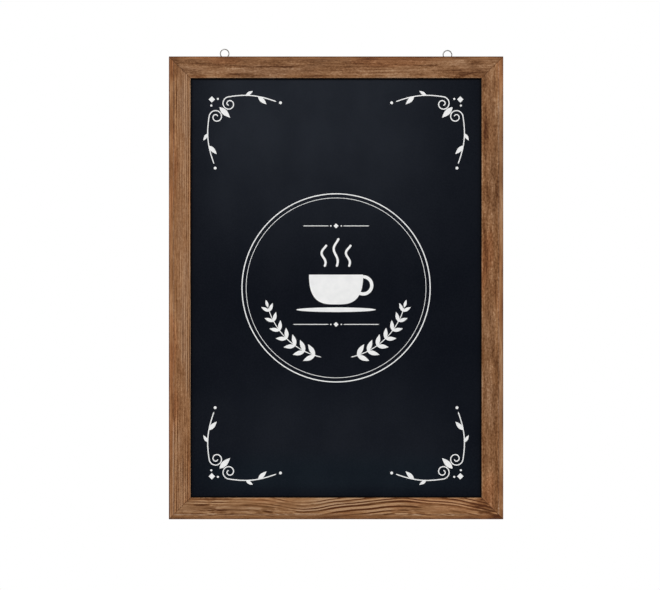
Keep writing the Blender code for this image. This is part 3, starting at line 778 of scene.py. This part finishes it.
ornament = {
    "thickness": 0.00012, "sink": 0.00002, "steps across": 7, "narrowest end": 0.02, "leaf skew": 0.85,
    "ink": (0.97, 0.97, 0.965, 1), "thin ink": (0.9, 0.905, 0.905, 1), "rubbed ink": (0.4, 0.41, 0.43, 1),
    "specks": 1500.0, "clouds": 60.0, "thinner": (0.3, 0.7), "rubbed off": (0.66, 0.78, 0.0, 0.4),
    "relief": 0.00003, "roughness": 0.5, "speck roughness": 0.3, "sheen": 0.3,
    # a filled shape in rings: share of its outline, and share of the thickness
    "fill": ((1.0, 0.0), (0.985, 0.6), (0.9, 1.0), (0.5, 1.0)),
    "rings": ((0.17, 0.002), (0.1625, 0.001)),   # radius and line
    "cup": {
        "rim": (0.0, 0.024), "size": (0.098, 0.054), "roundness": (0.62, 0.8), "handle": (0.5, 0.36, 0.0155),
        "handle arc": (-130, 95), "handle line": 0.0062, "saucer": (0.072, 0.0042), "saucer drop": 0.0095,
        "steam": ((-0.022, 0.04), (0.0, 0.052), (0.022, 0.04)), "steam line": 0.0042, "steam lift": 0.014,
        "steam wave": (0.0052, 1.15, 0.3), "fill centre": 0.4,
    },
    "rule": {
        "below cup": ((0.0, -0.066), 0.078), "above cup": ((0.0, 0.112), 0.06),   # middle and half span
        "line": 0.0014, "gap": 0.013, "dot": (0.0095, 0.0013), "diamond": 0.009,
    },
    "sprig": {
        "arcs": ((258, 196), (282, 344)), "radius": 0.128, "stem": 0.0016, "leaf": (0.024, 0.0086),
        "pairs": 7, "first pair": 0.6, "lean": 0.72, "taper": 0.35, "tip": 0.6,
    },
    "corner": {
        "inset": 0.03, "line": 0.002, "curl": (0.04, 0.0165), "curl radius": 0.013, "curl shrinks": 0.8,
        "curl half turns": 2.9, "arm": 0.085, "arm at": 0.0035, "bow": 0.009, "dip": 0.004,
        # leaves: root, direction, length and width; dots: centre, radius and points
        "arm leaves": (((0.092, 0.0031), 0.75, 0.021, 0.0076), ((0.07, 0.001), -0.55, 0.015, 0.0056)),
        "dots": (((0.1325, 0.0145), 0.0026, 20), ((0.0195, 0.0075), 0.0019, 16)),
        "middle leaf": ((0.0225, 0.0225), math.pi / 4, 0.027, 0.0098), "diamond": ((0.0085, 0.0085), 0.0115),
    },
}
pointsOf = {
    "ring": 320, "rim": 49, "handle": 44, "saucer": 64, "steam": 48, "leaf": 13, "stem": 60, "curl": 80,
    "bow": 40, "rule": 24, "dot": 16,
}
ink = {"points": [], "faces": []}   # all strokes of the print, for one mesh


def addInk(flat, lift, closed=False):
    # rows of places on the board, and how far the ink stands off it there
    y = panelY - np.broadcast_to(lift, flat.shape[:2])
    start = sum(map(len, ink["points"]))
    ink["faces"] += [[start + corner for corner in face] for face in gridFaces(*flat.shape[:2], closed)]
    ink["points"].append(np.stack([flat[..., 0], y, middle.z + flat[..., 1]], axis=-1).reshape(-1, 3))


def drawLine(path, width, closed=False):
    # a low rounded section carried along the path, square to it, and drawn to a point at loose ends
    path = np.asarray(path, float)
    if closed:
        way = np.roll(path, -1, axis=0) - np.roll(path, 1, axis=0)
        widths = np.full(len(path), width)
    else:
        way = np.gradient(path, axis=0)
        steps = np.linalg.norm(np.diff(path, axis=0), axis=1)
        run = np.concatenate([[0], np.cumsum(steps)])
        fromEnd = np.minimum(run, run[-1] - run) / (width / 2)
        widths = width * np.sqrt(np.clip(1 - (1 - np.clip(fromEnd, 0, 1)) ** 2, ornament["narrowest end"], 1))
    side = np.stack([way[:, 1], -way[:, 0]], axis=1) / np.linalg.norm(way, axis=1)[:, None]
    over = np.linspace(-1, 1, ornament["steps across"])
    flat = path[:, None, :] + side[:, None, :] * (widths[:, None] * over[None, :] / 2)[..., None]
    lift = ornament["thickness"] * (1 - over ** 4) - ornament["sink"] * (np.abs(over) == 1)
    addInk(flat, lift, closed)


def fillShape(outline, centre=None):
    # rings shrinking from the outline to its centre, nearly flat on top and eased down at the edge
    outline = np.asarray(outline, float)
    centre = outline.mean(axis=0) if centre is None else np.asarray(centre, float)
    shares, lift = np.array(ornament["fill"]).T
    lift = lift * ornament["thickness"]
    lift[0] = -ornament["sink"]
    flat = centre + (outline - centre)[None, :, :] * shares[:, None, None]
    addInk(flat, lift[:, None])


def circle(centre, radius, steps, start=0.0, end=360.0):
    whole = abs(end - start) >= 360
    angles = np.radians(np.linspace(start, end, steps, endpoint=not whole))
    return np.array(centre) + radius * np.stack([np.cos(angles), np.sin(angles)], axis=1)


def leafOutline(root, direction, length, width):
    # a pointed leaf: its half width follows the sine of the way from root to tip
    share = np.linspace(0, 1, pointsOf["leaf"])
    half = width / 2 * np.sin(np.pi * share ** ornament["leaf skew"])
    way = np.array((math.cos(direction), math.sin(direction)))
    side = np.array((-way[1], way[0]))
    spine = np.array(root) + share[:, None] * length * way
    return np.concatenate([spine + side * half[:, None], (spine - side * half[:, None])[-2:0:-1]])


def diamond(centre, width):
    return np.array(centre) + width / 2 * np.array([(1, 0), (0, 1), (-1, 0), (0, -1)])


def drawSprig(start, end):
    # a stem along an arc about the board's middle, with pairs of leaves that lean towards its tip
    shape = ornament["sprig"]
    stem = circle((0, 0), shape["radius"], pointsOf["stem"], start, end)
    drawLine(stem, shape["stem"])
    length, width = shape["leaf"]
    onwards = 90 if end > start else -90
    for step in range(shape["pairs"]):
        degrees = start + (end - start) * (step + shape["first pair"]) / shape["pairs"]
        root = circle((0, 0), shape["radius"], 2, degrees, degrees + 1)[0]
        ahead = math.radians(degrees + onwards)
        size = 1 - shape["taper"] * step / shape["pairs"]
        for lean in (-shape["lean"], shape["lean"]):
            fillShape(leafOutline(root, ahead + lean, length * size, width * size))
    size = shape["tip"]
    fillShape(leafOutline(stem[-1], math.radians(end + onwards), length * size, width * size))


def drawCup():
    # The body is the lower half of a rounded square, flat at the rim. Each wisp of steam is a sine wave that
    # widens upwards.
    shape = ornament["cup"]
    x0, z0 = shape["rim"]
    width, height = shape["size"]
    sidePower, footPower = shape["roundness"]
    angles = np.linspace(np.pi, 2 * np.pi, pointsOf["rim"])
    body = np.stack([
        x0 + width / 2 * np.sign(np.cos(angles)) * np.abs(np.cos(angles)) ** sidePower,
        z0 - height * np.abs(np.sin(angles)) ** footPower,
    ], axis=1)
    fillShape(body, (x0, z0 - height * shape["fill centre"]))
    right, down, radius = shape["handle"]
    centre = (x0 + width * right, z0 - height * down)
    handle = circle(centre, radius, pointsOf["handle"], *shape["handle arc"])
    drawLine(handle, shape["handle line"])
    saucer = circle((0, 0), 1.0, pointsOf["saucer"]) * np.array(shape["saucer"])
    fillShape(saucer + np.array((x0, z0 - height - shape["saucer drop"])))
    share = np.linspace(0, 1, pointsOf["steam"])
    swing, turns, phase = shape["steam wave"]
    for column, length in shape["steam"]:
        wave = swing * np.sin(2 * np.pi * share * turns + phase) * (0.5 + share / 2)
        wisp = np.stack([x0 + column + wave, z0 + shape["steam lift"] + length * share], axis=1)
        drawLine(wisp, shape["steam line"])


def drawCorner(side, up):
    # Two arms run out from the corner of the board along its edges. Each is a gentle bow that rolls up into
    # a spiral, whose radius shrinks evenly with the angle. One arm is the other with its directions swapped.
    shape = ornament["corner"]
    corner = np.array((openHalfWidth - shape["inset"], openHalfHeight - shape["inset"]))
    curlX, curlZ = shape["curl"]
    turns = np.linspace(0, 1, pointsOf["curl"])
    radius = shape["curl radius"] * (1 - shape["curl shrinks"] * turns)
    angle = -np.pi / 2 - turns * shape["curl half turns"] * np.pi
    curl = np.stack([curlX + radius * np.cos(angle), curlZ + radius * np.sin(angle)], axis=1)
    bow = np.linspace(1, 0, pointsOf["bow"])[:-1]
    rising = shape["arm at"] + shape["bow"] * bow ** 2 - shape["dip"] * np.sin(np.pi * bow)
    lead = np.stack([curlX + shape["arm"] * bow, rising], axis=1)
    arm = np.concatenate([lead, curl])

    def placed(flat, swapped=False):
        flat = flat[..., ::-1] if swapped else flat
        return (corner - flat) * np.array((side, up))

    for swapped in (False, True):
        drawLine(placed(arm, swapped), shape["line"])
        for leaf in shape["arm leaves"]:
            fillShape(placed(leafOutline(*leaf), swapped))
        for dot in shape["dots"]:
            fillShape(placed(circle(*dot), swapped))
    fillShape(placed(leafOutline(*shape["middle leaf"])))
    fillShape(placed(diamond(*shape["diamond"])))


def drawRule(centre, halfSpan):
    # a thin rule, parted by a small diamond between two dots
    shape = ornament["rule"]
    dotAt, dotRadius = shape["dot"]
    for side in (-1, 1):
        x = np.linspace(shape["gap"], halfSpan, pointsOf["rule"]) * side
        drawLine(np.stack([centre[0] + x, np.full_like(x, centre[1])], axis=1), shape["line"])
        fillShape(circle((centre[0] + side * dotAt, centre[1]), dotRadius, pointsOf["dot"]))
    fillShape(diamond(centre, shape["diamond"]))


def inkMaterial():
    material, tree, shader, place = newMaterial("white ink", Specular_IOR_Level=ornament["sheen"])
    specks = noise(tree, place, 3.0, 0.65, ornament["specks"])
    clouds = noise(tree, place, 2.0, 0.5, ornament["clouds"])
    colour = blend(tree, rise(tree, clouds, *ornament["thinner"]), ornament["ink"], ornament["thin ink"])
    colour = blend(tree, rise(tree, specks, *ornament["rubbed off"]), colour, ornament["rubbed ink"])
    rough = timesPlus(tree, specks, ornament["speck roughness"], ornament["roughness"])
    dress(tree, shader, colour, rough, specks, ornament["relief"])
    return material


def printedOrnament():
    for radius, line in ornament["rings"]:
        drawLine(circle((0, 0), radius, pointsOf["ring"]), line, closed=True)
    drawCup()
    drawRule(*ornament["rule"]["below cup"])
    for start, end in ornament["sprig"]["arcs"]:
        drawSprig(start, end)
    drawRule(*ornament["rule"]["above cup"])
    for side in (-1, 1):
        for up in (-1, 1):
            drawCorner(side, up)
    newPiece("printed_ornament", np.concatenate(ink["points"]).tolist(), ink["faces"], inkMaterial())


printedOrnament()
print("ornament printed")


camera = {"lens": 135.0, "distance": 4.4672, "right": -0.01096, "up": -0.01288, "reach": 50.0}
softboxes = {
    # place relative to the board's middle, width, height and power
    "key": ((-0.75, -3.3, 2.9), 1.8, 1.0, 87.0),
    "left fill": ((-2.7, -1.5, 0.2), 1.0, 1.8, 15.5),
    "right fill": ((2.7, -1.5, 0.2), 1.0, 1.8, 14.5),
    "back left": ((-1.9, 2.3, 1.2), 1.2, 1.5, 22.0),
    "back right": ((1.9, 2.3, 1.2), 1.2, 1.5, 22.0),
}
surround = {"colour": (1, 1, 1, 1), "ambient": 0.33, "camera side": 0.1, "turn": (-0.45, 0.1)}
floorDisc = {
    "below board": 0.45, "radius": 2.1, "fade": (1.155, 2.037), "rings": 12, "steps round": 96,
    "colour": (0.9, 0.9, 0.895, 1),
}


def addCamera():
    lens = bpy.data.cameras.new("camera")
    lens.lens = camera["lens"]
    lens.clip_end = camera["reach"]
    holder = addObject("camera", lens)
    holder.location = middle + Vector((camera["right"], frontY - camera["distance"], camera["up"]))
    holder.rotation_euler = (math.radians(90), 0, 0)
    scene.camera = holder


def addSoftboxes():
    for name, (place, width, height, power) in softboxes.items():
        light = bpy.data.lights.new(name, "AREA")
        light.shape = "RECTANGLE"
        light.size, light.size_y, light.energy = width, height, power
        box = addObject(name, light)
        box.location = middle + Vector(place)
        box.rotation_euler = (-Vector(place)).to_track_quat("-Z", "Y").to_euler()


def addWorld():
    # white for the camera and in reflections, dimmer in reflections on the camera's side
    world = bpy.data.worlds.new("studio")
    world.use_nodes = True
    scene.world = world
    tree = world.node_tree
    tree.nodes.clear()
    ray = addNode(tree, "LightPath").outputs
    direction = addNode(tree, "TexCoord").outputs["Generated"]
    y = parted(tree, direction)[1]
    mirrored = rise(tree, y, *surround["turn"], surround["camera side"], 1.0)

    def backdrop(strength):
        return addNode(tree, "Background", {0: surround["colour"], 1: strength}).outputs[0]

    sharp = calc(tree, "MAXIMUM", ray["Is Glossy Ray"], ray["Is Transmission Ray"])
    mixed = addNode(tree, "MixShader", {0: sharp, 1: backdrop(surround["ambient"]), 2: backdrop(mirrored)})
    feeds = {0: ray["Is Camera Ray"], 1: mixed.outputs[0], 2: backdrop(1.0)}
    addNode(tree, "OutputWorld", {0: addNode(tree, "MixShader", feeds).outputs[0]})


def addFloor():
    # rings of points round the middle, level, fading out at the rim so that no edge shows
    material, tree, shader, place = newMaterial("pale floor", Roughness=0.8)
    shader.inputs["Base Color"].default_value = floorDisc["colour"]
    distance = vectorCalc(tree, "LENGTH", stretched(tree, place, (1, 1, 0)))[1]
    shown = rise(tree, distance, *floorDisc["fade"], 1.0, 0.0)
    above = inverted(tree, addNode(tree, "NewGeometry").outputs["Backfacing"])
    feed(tree, shader.inputs["Alpha"], times(tree, shown, above))
    radii = np.linspace(0, floorDisc["radius"], floorDisc["rings"] + 1)[1:, None]
    turn = np.linspace(2 * np.pi, 0, floorDisc["steps round"], endpoint=False)[None, :]
    floorZ = bottomLow.z - floorDisc["below board"]
    points = np.stack(np.broadcast_arrays(radii * np.cos(turn), radii * np.sin(turn), floorZ), axis=-1)
    faces = gridFaces(radii.size, turn.size, capped=False) + [list(range(turn.size))[::-1]]
    mesh = bpy.data.meshes.new("floor")
    mesh.from_pydata(points.reshape(-1, 3).tolist(), [], faces)
    mesh.materials.append(material)
    addObject("floor", mesh)


addCamera()
addSoftboxes()
addWorld()
addFloor()
scene.view_settings.view_transform = "Standard"
print("studio done")
